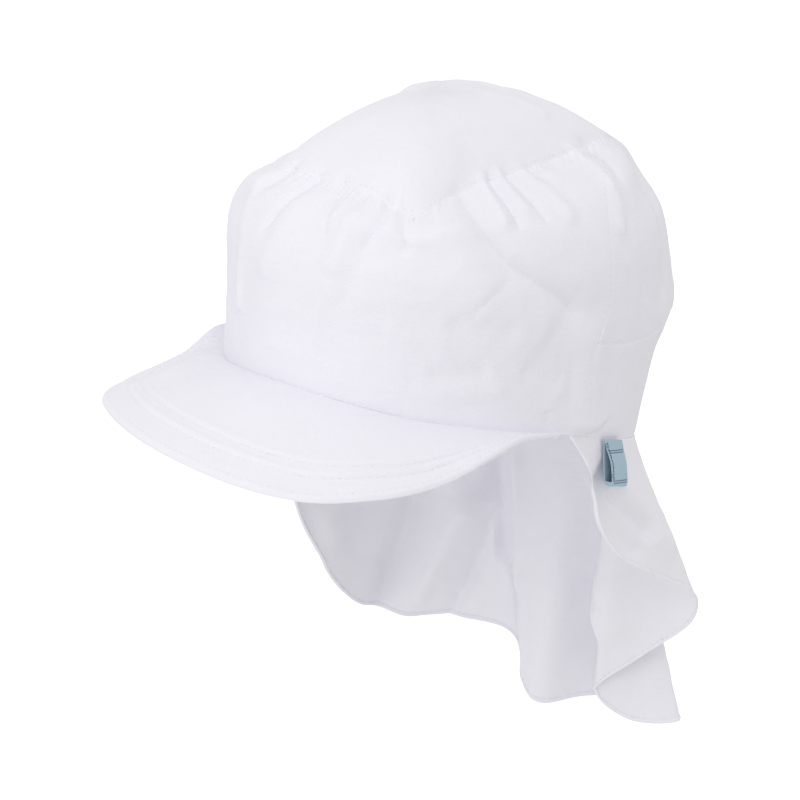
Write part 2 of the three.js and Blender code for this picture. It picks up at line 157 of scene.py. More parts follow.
# The flap's hem: across is a share of half the head's width, along of half its length, and drop
# of the flap's length. Its tail, from 155 to 166, hangs a little lower than the solid's.
HEM = table(
    "angle across along drop",
    (88, 1.0, -0.02, 0),
    (93, 1.0, 0.09, 0.12),
    (98, 1.01, 0.14, 0.25),
    (103, 1.0, 0.2, 0.37),
    (108, 0.99, 0.36, 0.5),
    (120, 0.98, 0.62, 0.63),
    (131, 0.97, 0.89, 0.76),
    (137, 0.86, 0.99, 0.9),
    (143, 0.58, 0.92, 1.06),
    (149, 0.34, 0.84, 1.21),
    (155, 0.44, 0.99, 1.34),
    (161, 0.65, 1.14, 1.34),
    (166, 0.46, 1.14, 1.3),
    (172, 0.16, 0.99, 1.3),
    (180, 0, 0.79, 1.31),
    (190, -0.12, 0.8, 1.26),
    (196, -0.25, 0.88, 1.16),
    (202, -0.38, 0.86, 1.11),
    (216, -0.71, 0.73, 1.1),
    (228, -0.9, 0.56, 1.08),
    (240, -0.97, 0.36, 1.0),
    (252, -0.98, 0.14, 0.8),
    (262, -0.99, -0.03, 0.5),
    (272, -1, -0.05, 0.01),
)

# Folds run between two places and push the cloth out by depth, or in where it is negative. width
# is across the fold, in millimetres as depth is. power is 2 for a soft fold, less for a crease.
# A fold fades in and out over FOLD_ENDS of its length, and where two valleys or two ridges meet
# the stronger one counts.
CROWN_FOLDS = table(
    "from_angle start to_angle end width depth power",
    # the long valley from the top seam to the side, and the ridge in front of it
    (52, 1.05, 68, 0.71, 4.4, -2.5, 1.5),
    (60, 0.82, 92, 0.51, 4.4, -2.6, 1.4),
    (42, 0.98, 59, 0.6, 9, 2.2, 2),
    (53, 0.66, 80, 0.47, 8, 1.5, 2),
    # creases and folds from the front gathers
    (28, 1.05, 20.5, 0.77, 2.6, -2.4, 1.3),
    (23, 0.86, 16.5, 0.5, 4.5, -1.5, 1.7),
    (18, 0.62, 12, 0.22, 8, -1.2, 2),
    (31, 1.04, 35, 0.8, 2.4, -1.4, 1.3),
    (16, 0.97, 13, 0.66, 4.5, 1.4, 2),
    (2, 1.05, 10, 0.78, 2.2, -1.6, 1.3),
    (5, 0.95, 4, 0.22, 9, -1.4, 2),
    (-8, 1.05, -15, 0.74, 2.4, -1.8, 1.4),
    (-21, 1.06, -28, 0.84, 2.2, -1.5, 1.4),
    (-5, 0.96, -9, 0.55, 5, 1.3, 2),
    (-31, 1, -19, 0.56, 4, 1.6, 1.7),
    (-21, 0.66, -18, 0.34, 2.6, 1.6, 1.4),
    (-23, 0.8, -28, 0.28, 5, -1.3, 2),
    # knots and folds on the wearer's left
    (70, 1.05, 67, 0.87, 3, 1.8, 1.6),
    (78, 1.06, 72, 0.86, 2, -2, 1.3),
    (84, 1.05, 79, 0.89, 3, 1.7, 1.6),
    (91, 1.06, 85, 0.85, 2.2, -1.6, 1.4),
    (101, 1.04, 96, 0.83, 3.4, 1.3, 1.8),
    (139, 1.05, 121, 0.86, 3, 1.9, 1.6),
    (127, 0.93, 114, 0.74, 4, 1.3, 2),
    (147, 1.05, 129, 0.88, 2.6, -1.5, 1.5),
    # wrinkles low on the front panel
    (44, 0.55, 68, 0.49, 4.8, -0.9, 1.8),
    (48, 0.61, 69, 0.56, 4, 0.6, 2),
    (39, 0.29, 60, 0.33, 4.8, -0.9, 1.8),
    (35, 0.2, 66, 0.25, 4.5, 0.7, 2),
    (16, 0.42, 31, 0.46, 4, -0.7, 1.8),
    (68, 0.36, 84, 0.26, 4, -0.7, 1.8),
    # the stiff front panel turns at the side seam, where the elastic pulls it in
    (94.5, 0.56, 95, -0.14, 11, 2.4, 2),
    (81, 0.5, 80, -0.02, 4.5, 0.4, 2),
    (86.5, 0.42, 87, -0.05, 3.2, -0.7, 1.6),
    (78, 0.14, 78, -0.04, 2, -0.8, 1.5),
    (-74, 0.14, -75, -0.04, 2, -0.8, 1.5),
    (-95, 0.56, -95, -0.14, 11, 2, 2),
    # the far side and the back
    (-55, 1, -79, 0.56, 6, -2, 1.7),
    (-76, 0.66, -100, 0.3, 6, -1.8, 1.7),
    (-46, 0.9, -68, 0.45, 8, 1.3, 2),
    (152, 1, 137, 0.44, 7.2, -1.8, 2),
    (176, 1, 172, 0.4, 9.6, 1.8, 2),
    (203, 1, 219, 0.44, 7.2, -1.8, 2),
    (186, 0.72, 219, 0.61, 6, -1.2, 1.7),
)
TOP_FOLDS = table(
    "from_angle start to_angle end width depth power",
    (153, 1.7, 141, 1.2, 3.2, 1.2, 1.6),
    (198, 1.25, 184, 1.56, 6, -2, 2),
    (188, 1.45, 156, 1.68, 5, -1.4, 2),
    (266, 1.6, 202, 1.74, 7, 1.3, 2),
    (-13, 1, -1, 1.45, 8, -0.7, 2),
    (58, 1, 76, 1.45, 7, -0.7, 2),
)
FLAP_FOLDS = table(
    "from_angle start to_angle end width depth power",
    # the far side: a valley, the lobe behind it and a second valley with a sharper side
    (217, 0.15, 225, 0.58, 6.5, 5, 2),
    (220, 0.34, 235, 1.25, 6.5, 8, 1.8),
    (207, 0.4, 228, 1.15, 7.5, -7, 2),
    (202.5, 0.45, 210, 0.9, 3.8, 6, 1.5),
    (205.5, 0.65, 217, 1.15, 4, 6.5, 1.5),
    # the cloth at the back overlaps that of the far side, along a sharp line
    (204, 0.1, 201.5, 0.75, 4.4, 7, 1.7),
    (202, 0.36, 199.5, 0.76, 1.5, 3, 1.3),
    (201, 0.55, 195.5, 1.0, 1.4, 2.6, 1.3),
    (198, 0.75, 191, 1.12, 1.2, 2, 1.3),
    (197.5, 0.2, 194.5, 0.85, 5, -3.2, 2),
    (196, 0.55, 189, 1.15, 5, -2.6, 2),
    # the near side
    (149, 0.15, 149, 0.85, 12, -5.6, 2),
    (101, 0.25, 113, 1.1, 8.4, -3.2, 2),
    (104, 0.45, 123, 0.7, 4.4, -3.6, 1.7),
    (110, 0.34, 130, 0.78, 6, 2.4, 2),
    (245, 0.2, 253, 1.15, 10.8, -4.4, 2),
)
PEAK_FOLDS = table(
    "from_angle start to_angle end width depth power",
    (-54, 0.24, -28, 0.78, 5, -1.1, 1.8),
    (-42, 0.14, -22, 0.56, 7, 0.9, 2),
    (-60, 0.5, -42, 0.9, 5, -0.9, 1.8),
)

# Stretches of the top seam where the wall is gathered, with the gathers' pitch, height and length
# in millimetres, and how much they lean towards the wearer's left on the way down
GATHERS = table(
    "start end pitch height length lean",
    (-44, -12, 4.4, 0.9, 9, -0.35),
    (-16, 20, 2.7, 1.0, 4.5, -0.1),
    (-40, 18, 8.5, 0.8, 18, -0.25),
    (22, 48, 3.1, 0.8, 6, 0.1),
    (24, 48, 7, 0.8, 15, 0),
    (66, 118, 3.6, 0.9, 6, 0.15),
    (70, 116, 8, 0.8, 17, 0.2),
    (126, 154, 3.6, 0.9, 8, 0.3),
    (158, 202, 3.6, 0.8, 7, 0),
    (160, 202, 8, 0.7, 18, 0),
    (208, 232, 3.6, 0.9, 8, -0.2),
    (242, 290, 3.6, 0.9, 7, -0.1),
    (244, 288, 8, 0.8, 17, -0.1),
)

GATHER_RISE = 1.6 * MM  # the gathers grow to their height over this distance from the seam

# The peak's seams: the distance from its edge in millimetres, whether that narrows with the peak
# at its sides, and the columns that are left bare at each end
PEAK_SEAMS = ((2.6, False, 6), (11, True, 40), (16.8, True, 40))

# The peak's stiffening steps down twice towards its edge. inset is the step's distance from the
# edge and drop its height, in millimetres.
PEAK_STEPS = table("inset drop", (17.2, 0.6), (11.4, 0.7))
STEP_WIDTH = 1.5 * MM

FOLD_ENDS = 0.2
FOLD_REACH = 3.5  # a fold's reach to either side, in its own widths
FOLD_STEPS = 11  # places along a fold's line
SHORTEST = 0.01 * MM  # a fold that runs on past the rim has steps of no length

# The ripples beside the band's upper seam
PUCKERS = 17
PUCKER_HEIGHT = 0.7 * MM
PUCKER_REACH = 0.16  # above and below the seam, as a share of the wall

# The pieces' outer grids: columns and rows of faces, or of points in the flap
FRONT_GRID = (640, 112)
BACK_GRID = (280, 80)
BAND_GRID = (280, 44)
TOP_GRID = (360, 64)
PEAK_GRID = (360, 96)
FLAP_GRID = (401, 94)
# Rows of the flap round its rolled hem, in millimetres from the edge
HEM_ROWS = (0, 0.04, 0.12, 0.25, 0.45, 0.7, 0.95, 1.25, 1.55, 1.8, 2.0, 2.2, 2.5, 3)
SHORTEST_FLAP = 8 * MM

# Stitches, by their pitch, length and radius
CROWN_STITCH = (2.7 * MM, 1.8 * MM, 0.12 * MM)
PEAK_STITCH = (2.8 * MM, 1.9 * MM, 0.13 * MM)
HEM_STITCH = (2.6 * MM, 1.7 * MM, 0.11 * MM)
# Distances of two seams from the edges beside them
SIDE_SEAM_INSET = 1.7 * MM
HEM_INSET = 2.1 * MM
# A thread's form: places along it as shares of its length, then its thickness and lift as shares
# of its radius
THREAD_FORM = (
    (0.0, 0.15, -1.0),
    (0.16, 0.85, -0.1),
    (0.5, 1.0, 0.35),
    (0.84, 0.85, -0.1),
    (1.0, 0.15, -1.0),
)
THREAD_SIDES = 6

# The crossed stitches at the front corner of the top panel
CROSS_ANGLE = 36
CROSS_BELOW = 2.4 * MM
CROSS_REACH = 1.5 * MM
CROSS_RADIUS = 0.22 * MM

# Camera and the place of the origin in its picture
CAMERA_AZIMUTH = 42
CAMERA_ELEVATION = 22
CAMERA_DISTANCE = 2.0
PICTURE_SIZE = 800
PIXELS_PER_METRE = 2600
ORIGIN_PIXEL = (431, 389)
SENSOR_WIDTH = 36

# Studio
FLOOR_HEIGHT = -0.5
FLOOR_RADIUS = 15
FLOOR_GREY = (0.6, 0.6, 0.6, 1)
FLOOR_GLOW = 0.7
SKY = 0.71  # the strength of the light from all round

COTTON = (0.9, 0.89, 0.95)
LABEL_BLUE = (0.4, 0.55, 0.64)
NAVY = (0.02, 0.035, 0.11)
GLOW_REACH = 1.5 * MM

# Fine dark rows woven across the label, by their distance along its tape in millimetres
LABEL_STRIPES = (23.2, 24.1, 35.5, 36.4)
STRIPE_WIDTH = 0.45
STRIPE_TINT = (0.25, 0.3, 0.42)


# Numbers


def mix(a, b, share):
    return a + (b - a) * share


def clamp01(value):
    return np.clip(value, 0, 1)


def smooth(share):
    share = clamp01(share)
    return share * share * (3 - 2 * share)


def bump(distance, width, power=2):
    return np.exp(-np.abs(distance / width) ** power)


def read(rows, key, column, value):
    """A column of a table at values of its key, on a smooth curve through the rows."""
    x, y = rows[key], rows[column]
    order = np.arange(len(x))
    before, after = np.maximum(order - 1, 0), np.minimum(order + 1, len(x) - 1)
    slope = (y[after] - y[before]) / (x[after] - x[before])
    i = np.clip(np.searchsorted(x, value) - 1, 0, len(x) - 2)
    span = x[i + 1] - x[i]
    t = clamp01((value - x[i]) / span)
    ends = y[i] * (1 + 2 * t) * (1 - t) ** 2 + y[i + 1] * t * t * (3 - 2 * t)
    return ends + span * (slope[i] * t * (1 - t) ** 2 - slope[i + 1] * t * t * (1 - t))


def turn_from(place, angle):
    """The turn from a place round the head to an angle, from -180 to 180."""
    return (angle - place + 180) % 360 - 180


def unit(vectors):
    return vectors / np.maximum(np.linalg.norm(vectors, axis=-1, keepdims=True), 1e-12)


def lumps(points, size, seed):
    """Smooth random lumps between -1 and 1, about size across."""
    lattice = np.random.default_rng(seed).uniform(-1, 1, (32, 32, 32))
    place = points / size
    low = np.floor(place).astype(int)
    share = smooth(place - low)
    total = 0
    for step in np.ndindex(2, 2, 2):
        step = np.array(step)
        weight = np.prod(np.where(step, share, 1 - share), axis=-1)
        x, y, z = np.moveaxis((low + step) % 32, -1, 0)
        total = total + weight * lattice[x, y, z]
    return total


# Form of the cap


def rim_height(angle):
    return RIM_TILT * read(RIM_COURSE, "turn", "rise", np.abs(turn_from(0, angle)))


def round_the_head(angle, front, side, back):
    """A value that goes smoothly round the head, from its front, side and back values."""
    turn = np.radians(angle)
    saddle = ((front + back) / 2 - side) / 2
    return side + saddle + (front - back) / 2 * np.cos(turn) + saddle * np.cos(2 * turn)


def crown_form(angle, up):
    """The crown without its folds. up is 0 at the rim, 1 at the top seam and 2 in the middle."""
    angle, up = np.broadcast_arrays(np.asarray(angle, float), np.asarray(up, float))
    sine, cosine = np.sin(np.radians(angle)), np.cos(np.radians(angle))
    column = {name: read(CROWN_OUTLINES, "up", name, up) for name in CROWN_OUTLINES}
    inward = clamp01(up - 1)
    square = mix(column["square"], 2, smooth(inward * 1.2))
    across = np.abs(sine) / (column["half_width"] * HEAD_WIDTH)
    length = np.where(cosine > 0, column["front"], column["back"]) * HEAD_LENGTH
    reach = (across**square + (np.abs(cosine) / length) ** square) ** (-1 / square)
    rise = round_the_head(
        angle, column["front_rise"], column["side_rise"], column["back_rise"]
    )
    radius = reach * (1 - inward)
    edge = mix(rim_height(angle), CROWN_HEIGHT, rise)
    for place, out, drop, spread, up_spread in zip(*SEAM_PULLS.values()):
        away = (turn_from(place, angle) / spread) ** 2 + ((1 - up) / up_spread) ** 2
        pull = np.exp(-away) * (1 - inward) * CROWN_HEIGHT
        radius = radius + out * pull
        edge = edge - drop * pull
    height = mix(CROWN_HEIGHT, edge, (1 - inward) ** DOME_POWER)
    return np.stack([radius * sine, -radius * cosine, height], -1)


def crown_normal(angle, up):
    turn, step = math.degrees(0.02), 0.03
    across = crown_form(angle + turn, up) - crown_form(angle - turn, up)
    climb = crown_form(angle, np.minimum(up + step, 2))
    climb = climb - crown_form(angle, np.maximum(up - step, 0))
    normal = unit(np.cross(across, climb))
    normal[up > 2 - step / 2] = (0, 0, 1)
    return normal


def side_seam(up):
    return read(SIDE_SEAM, "up", "angle", up)


def band_top(angle):
    """up at the top of the band."""
    height = BAND_HEIGHT * read(BAND_COURSE, "turn", "rise", np.abs(turn_from(0, angle)))
    goal = height / (CROWN_HEIGHT - rim_height(angle))
    low, high = np.zeros_like(goal), np.ones_like(goal)
    for _ in range(30):
        middle = (low + high) / 2
        rise = round_the_head(
            angle,
            *(
                read(CROWN_OUTLINES, "up", name, middle)
                for name in ("front_rise", "side_rise", "back_rise")
            ),
        )
        low = np.where(rise < goal, middle, low)
        high = np.where(rise < goal, high, middle)
    return low


def flap_form(angle, down):
    """The flap without its folds. down is 0 at the band and 1 at the hem."""
    top = crown_form(angle, 0) - np.array([0, 0, SEAM_GAP])
    hem = np.stack(
        [
            read(HEM, "angle", "across", angle) * HEAD_WIDTH / 2,
            read(HEM, "angle", "along", angle) * HEAD_LENGTH / 2,
            -read(HEM, "angle", "drop", angle) * FLAP_LENGTH,
        ],
        -1,
    )
    return mix(top, hem, down[..., None])


def flap_normal(angle, down):
    turn, step = 0.4, 0.02
    first = np.maximum(angle - turn, FLAP_START)
    last = np.minimum(angle + turn, 360 - FLAP_START)
    across = flap_form(last, down) - flap_form(first, down)
    climb = flap_form(angle, np.maximum(down - step, 0))
    climb = climb - flap_form(angle, np.minimum(down + step, 1))
    return unit(np.cross(across, climb))


def fold_relief(folds, angle, place, form):
    """How far a table's folds push the cloth out at an angle and a place along it. form gives the
    cloth's points."""
    raised, sunk = np.zeros(angle.shape), np.zeros(angle.shape)
    here = form(angle, place)
    for from_angle, start, to_angle, end, width, depth, power in zip(*folds.values()):
        steps = np.linspace(0, 1, FOLD_STEPS)
        line = form(mix(from_angle, to_angle, steps), mix(start, end, steps))
        reach = FOLD_REACH * width * MM
        near = ((here > line.min(0) - reach) & (here < line.max(0) + reach)).all(-1)
        place_near = here[near]
        nearest = np.full(len(place_near), 1.0)
        along = np.zeros(len(place_near))
        for step, a, b in zip(steps, line[:-1], line[1:]):
            run = b - a
            share = clamp01(((place_near - a) @ run) / max(run @ run, SHORTEST**2))
            away = np.linalg.norm(place_near - a - share[:, None] * run, axis=-1)
            along = np.where(away < nearest, step + share * steps[1], along)
            nearest = np.minimum(nearest, away)
        ends = smooth(along / FOLD_ENDS) * smooth((1 - along) / FOLD_ENDS)
        fold = depth * MM * ends * bump(nearest, width * MM, power)
        raised[near] = np.maximum(raised[near], fold)
        sunk[near] = np.minimum(sunk[near], fold)
    return raised + sunk


# Meshes


def along_grid(points, axis):
    """The distance along a grid of points, from its first column or row."""
    steps = np.linalg.norm(np.diff(points, axis=axis), axis=-1)
    total = np.cumsum(steps, axis=axis)
    start = np.zeros_like(np.take(total, [0], axis=axis))
    return np.concatenate([start, total], axis=axis)


def cloth_uv(points):
    """A grid's own coordinates, in millimetres of cloth."""
    rows = along_grid(points, 1)
    middle = points.shape[1] // 3
    columns = along_grid(points[:, middle : middle + 1], 0)
    return np.stack([np.broadcast_to(columns, rows.shape), rows], -1) / MM


def grid_normals(points):
    """The way out of a grid whose columns run towards the wearer's left and rows upwards."""
    return unit(np.cross(np.gradient(points, axis=0), np.gradient(points, axis=1)))


def line_at(grid, distance, value):
    """A line across a grid's columns, where a distance that rises along them has a value."""
    column = np.arange(len(grid))
    after = np.clip((distance < value).sum(1), 1, distance.shape[1] - 1)
    low, high = distance[column, after - 1], distance[column, after]
    share = clamp01((value - low) / (high - low))[:, None]
    return mix(grid[column, after - 1], grid[column, after], share)


def quads(place):
    corners = (place[:-1, :-1], place[1:, :-1], place[1:, 1:], place[:-1, 1:])
    return np.stack(corners, -1).reshape(-1, 4)


def joining(outer, inner):
    """Faces that join an edge of the outer grid to that of the coarser inner grid."""
    step = (len(outer) - 1) // (len(inner) - 1)
    return [
        [*outer[k * step : (k + 1) * step + 1], inner[k + 1], inner[k]]
        for k in range(len(inner) - 1)
    ]


def new_piece(name, points, faces, material):
    mesh = bpy.data.meshes.new(name)
    mesh.from_pydata(np.asarray(points).tolist(), [], faces)
    mesh.materials.append(material)
    mesh.polygons.foreach_set("use_smooth", np.ones(len(mesh.polygons), bool))
    piece = bpy.data.objects.new(name, mesh)
    bpy.context.scene.collection.objects.link(piece)
    return piece


def shell(name, outer, inner, material, wraps=False, tip=False, crisp=False):
    """A closed piece between an outer and an inner grid of points, columns by rows. The inner
    grid's columns and rows divide those of the outer. A piece that wraps has its last column on
    its first, one with a tip has its last row at one point, and a crisp one has square edges."""
    place_out = np.arange(outer[..., 0].size).reshape(outer.shape[:2])
    place_in = place_out.size + np.arange(inner[..., 0].size).reshape(inner.shape[:2])
    merged = np.arange(place_out.size + place_in.size)
    for place in (place_out, place_in):
        if wraps:
            merged[place[-1]] = place[0]
        if tip:
            merged[place[:, -1]] = place[0, -1]
    faces = [*quads(place_out).tolist(), *quads(place_in)[:, ::-1].tolist()]
    broad = len(faces)
    faces += [face[::-1] for face in joining(place_out[:, 0], place_in[:, 0])]
    if not tip:
        faces += joining(place_out[:, -1], place_in[:, -1])
    if not wraps:
        faces += joining(place_out[0], place_in[0])
        faces += [face[::-1] for face in joining(place_out[-1], place_in[-1])]
    across, along = ((a - 1) // (b - 1) for a, b in zip(outer.shape[:2], inner.shape[:2]))
    uv = cloth_uv(outer)
    uv = np.concatenate([uv.reshape(-1, 2), uv[::across, ::along].reshape(-1, 2)])
    used, compact = np.unique(merged, return_inverse=True)
    points = np.concatenate([outer.reshape(-1, 3), inner.reshape(-1, 3)])[used]
    kept, corners = [], []
    for face in faces:
        ends = [(compact[k], k) for k in face]
        ends = [end for end, after in zip(ends, ends[1:] + ends[:1]) if end[0] != after[0]]
        kept.append([int(vertex) for vertex, _ in ends])
        corners += [k for _, k in ends]
    piece = new_piece(name, points, kept, material)
    piece.data.uv_layers.new(name="cloth").data.foreach_set("uv", uv[corners].ravel())
    piece.data.set_sharp_from_angle(angle=math.radians(70))
    if crisp:
        piece.data.polygons.foreach_set("use_smooth", np.arange(len(kept)) < broad)
    return piece


def row_of_stitches(line, normals, stitch, inset=0.0):
    """The ends, way out and radius of stitches along a line."""
    pitch, length, radius = stitch
    run = along_grid(line[None], 1)[0]
    count = max(int((run[-1] - 2 * inset) / pitch), 1)
    middles = inset + (np.arange(count) + 0.5) * (run[-1] - 2 * inset) / count

    def at(values, place):
        return np.stack([np.interp(place, run, values[:, k]) for k in range(3)], -1)

    starts, ends = at(line, middles - length / 2), at(line, middles + length / 2)
    return [(*row, radius) for row in zip(starts, ends, unit(at(normals, middles)))]


def threads(name, stitches, slot, material):
    """Stitches as short lengths of thread that sink into the cloth at both ends."""
    sides = range(THREAD_SIDES)
    around = np.linspace(0, 2 * math.pi, THREAD_SIDES + 1)[:-1]
    last = THREAD_SIDES * (len(THREAD_FORM) - 1)
    points, faces = [], []
    for start, end, out, radius in stitches:
        side = unit(np.cross(end - start, out))
        base = len(points)
        for share, wide, lift in THREAD_FORM:
            middle = mix(start, end, share) + out * lift * radius
            for turn in around:
                points.append(
                    middle + radius * wide * (math.cos(turn) * side + math.sin(turn) * out)
                )
        for ring in range(base, base + last, THREAD_SIDES):
            for m in sides:
                a, b = ring + m, ring + (m + 1) % THREAD_SIDES
                faces.append([a, b, b + THREAD_SIDES, a + THREAD_SIDES])
        faces.append([base + m for m in sides][::-1])
        faces.append([base + last + m for m in sides])
    piece = new_piece(name, points, faces, material)
    dress(piece, slot)
    return piece


def dress(piece, slot, *nodes):
    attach(piece, "root")
    if nodes:
        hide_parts(*nodes)


# Materials


def node(tree, kind, **values):
    made = tree.nodes.new(kind)
    for name, value in values.items():
        if hasattr(made, name):
            setattr(made, name, value)
        else:
            made.inputs[name.replace("_", " ")].default_value = value
    return made


def ramp(tree, value, *stops):
    """A colour that goes with a value, from stops of place and colour."""
    made = node(tree, "ShaderNodeValToRGB")
    for element, (place, colour) in zip(made.color_ramp.elements, stops):
        element.position = place
        element.color = (*colour, 1)
    tree.links.new(value, made.inputs["Fac"])
    return made.outputs["Color"]


def multiply(tree, first, second):
    made = node(tree, "ShaderNodeMix", data_type="RGBA", blend_type="MULTIPLY")
    made.inputs["Factor"].default_value = 1
    colours = [socket for socket in made.inputs if socket.type == "RGBA"]
    for socket, colour in zip(colours, (first, second)):
        tree.links.new(colour, socket)
    return next(socket for socket in made.outputs if socket.type == "RGBA")


def cloth_material(name, colour, roughness, sheen, thread, weave_depth, glow=0.0, stripes=None):
    """Plain-woven cloth. thread is the spacing of its threads in millimetres, glow how much light
    passes into it, and stripes the places of dark rows along the cloth, in millimetres."""
    material = bpy.data.materials.new(name)
    material.use_nodes = True
    tree = material.node_tree
    link = tree.links.new
    shader = tree.nodes["Principled BSDF"]
    shader.inputs["Roughness"].default_value = roughness
    shader.inputs["Sheen Weight"].default_value = sheen
    shader.inputs["Sheen Roughness"].default_value = 0.5
    shader.inputs["Specular IOR Level"].default_value = 0.2
    shader.inputs["Subsurface Weight"].default_value = glow
    shader.inputs["Subsurface Radius"].default_value = (1, 1, 1)
    shader.inputs["Subsurface Scale"].default_value = GLOW_REACH
    coordinates = node(tree, "ShaderNodeTexCoord")
    wave_scale = math.pi / (10 * 2 * thread)
    threads = []
    for direction in "XY":
        wave = node(
            tree,
            "ShaderNodeTexWave",
            bands_direction=direction,
            Scale=wave_scale,
            Distortion=0.6,
            Detail=1.0,
        )
        link(coordinates.outputs["UV"], wave.inputs["Vector"])
        threads.append(wave)
    weave = node(tree, "ShaderNodeMath", operation="MULTIPLY")
    for wave, socket in zip(threads, weave.inputs):
        link(wave.outputs["Fac"], socket)

    slub_place = node(tree, "ShaderNodeMapping")
    slub_place.inputs["Scale"].default_value = (0.06, 1.6, 1)
    link(coordinates.outputs["UV"], slub_place.inputs["Vector"])
    slubs = node(tree, "ShaderNodeTexNoise", Scale=1.0, Detail=2.0)
    link(slub_place.outputs["Vector"], slubs.inputs["Vector"])
    cloud = node(tree, "ShaderNodeTexNoise", Scale=22.0, Detail=3.0)
    link(coordinates.outputs["Object"], cloud.inputs["Vector"])
    both = node(tree, "ShaderNodeMath", operation="MULTIPLY_ADD")
    both.inputs[1].default_value = 0.5
    link(slubs.outputs["Fac"], both.inputs[0])
    half = node(tree, "ShaderNodeMath", operation="MULTIPLY")
    half.inputs[1].default_value = 0.5
    link(cloud.outputs["Fac"], half.inputs[0])
    link(half.outputs["Value"], both.inputs[2])
    dull = tuple(0.975 * c for c in colour)
    shade = ramp(tree, both.outputs["Value"], (0.3, dull), (0.7, colour))
    # Pointiness greys the hollows and creases by up to 3.5 percent: painted shade where shade
    # falls in them, with a little dirt as well.
    geometry = node(tree, "ShaderNodeNewGeometry")
    hollows, rest = (0.44, (0.965,) * 3), (0.53, (1.0,) * 3)
    hollow_shade_and_dirt = ramp(tree, geometry.outputs["Pointiness"], hollows, rest)
    colour_out = multiply(tree, shade, hollow_shade_and_dirt)
    if stripes:
        axis = node(tree, "ShaderNodeSeparateXYZ")
        link(coordinates.outputs["UV"], axis.inputs[0])
        for place in stripes:
            near = node(tree, "ShaderNodeMath", operation="COMPARE")
            near.inputs[1].default_value = place
            near.inputs[2].default_value = STRIPE_WIDTH / 2
            link(axis.outputs["Y"], near.inputs[0])
            stripe = ramp(tree, near.outputs["Value"], (0.3, (1.0,) * 3), (0.7, STRIPE_TINT))
            colour_out = multiply(tree, colour_out, stripe)
    link(colour_out, shader.inputs["Base Color"])

    crinkle = node(tree, "ShaderNodeTexNoise", Scale=170.0, Detail=3.0)
    link(coordinates.outputs["Object"], crinkle.inputs["Vector"])
    fine = node(tree, "ShaderNodeBump", Strength=0.5, Distance=weave_depth)
    link(weave.outputs["Value"], fine.inputs["Height"])
    broad = node(tree, "ShaderNodeBump", Strength=0.35, Distance=0.8 * MM)
    link(crinkle.outputs["Fac"], broad.inputs["Height"])
    link(fine.outputs["Normal"], broad.inputs["Normal"])
    link(broad.outputs["Normal"], shader.inputs["Normal"])
    return material


def thread_material(name, colour):
    """Sewing thread, twisted and slightly uneven in colour."""
    material = bpy.data.materials.new(name)
    material.use_nodes = True
    tree = material.node_tree
    shader = tree.nodes["Principled BSDF"]
    shader.inputs["Roughness"].default_value = 0.7
    shader.inputs["Sheen Weight"].default_value = 0.1
    shader.inputs["Specular IOR Level"].default_value = 0.25
    coordinates = node(tree, "ShaderNodeTexCoord")
    twist = node(tree, "ShaderNodeTexNoise", Scale=1600.0, Detail=1.0)
    tree.links.new(coordinates.outputs["Object"], twist.inputs["Vector"])
    dull = tuple(0.9 * c for c in colour)
    tint = ramp(tree, twist.outputs["Fac"], (0.35, dull), (0.65, colour))
    tree.links.new(tint, shader.inputs["Base Color"])
    relief = node(tree, "ShaderNodeBump", Strength=0.4, Distance=0.05 * MM)
    tree.links.new(twist.outputs["Fac"], relief.inputs["Height"])
    tree.links.new(relief.outputs["Normal"], shader.inputs["Normal"])
    return material


def floor_material():
    material = bpy.data.materials.new("studio_floor")
    material.use_nodes = True
    shader = material.node_tree.nodes["Principled BSDF"]
    shader.inputs["Base Color"].default_value = FLOOR_GREY
    shader.inputs["Roughness"].default_value = 0.9
    shader.inputs["Emission Color"].default_value = (1, 1, 1, 1)
    shader.inputs["Emission Strength"].default_value = FLOOR_GLOW
    return material


# Relief of the crown


def seam_reach(angle, up):
    """The distance along the wall from each place up to the top seam, about right."""
    steps = np.linspace(0, 1, 9)
    line = crown_form(angle[..., None], mix(up[..., None], 1, steps))
    return np.linalg.norm(np.diff(line, axis=-2), axis=-1).sum(-1)


def seam_length(angle):
    """The distance round the top seam, from the front."""
    turns = np.linspace(-180, 360, 1081)
    line = along_grid(crown_form(turns, 1.0)[:, None], 0)[:, 0]
    return np.interp(angle, turns, line)


def gather_relief(angle, down):
    """The gathers below the top seam. down is the distance below it."""
    chance = np.random.default_rng(5)
    here = seam_length(turn_from(0, angle))
    total = seam_length(180.0) - seam_length(-180.0)
    relief = np.zeros(angle.shape)
    for start, end, pitch, height, length, lean in zip(*GATHERS.values()):
        first, last = seam_length(start), seam_length(end)
        count = int(round((last - first) / (pitch * MM)))
        for k in range(count):
            place = first + (k + 0.5 + chance.uniform(-0.25, 0.25)) * (last - first) / count
            reach = length * MM * chance.uniform(0.55, 1.4)
            tall = height * MM * chance.uniform(0.6, 1.25)
            wide = pitch * MM * chance.uniform(0.24, 0.36)
            slant = lean + chance.uniform(-0.12, 0.12)
            near = down < 2.3 * reach
            aside = here[near] - place - slant * down[near]
            aside = (aside + total / 2) % total - total / 2
            spread = wide * (1 + 0.5 * down[near] / reach)
            trough = 0.4 * bump(aside, pitch * MM, 4)
            fade = np.exp(-((down[near] / reach) ** 2))
            fade = fade * mix(0.2, 1, smooth(down[near] / GATHER_RISE))
            relief[near] += tall * fade * (bump(aside, spread, 1.7) - trough)
    return relief


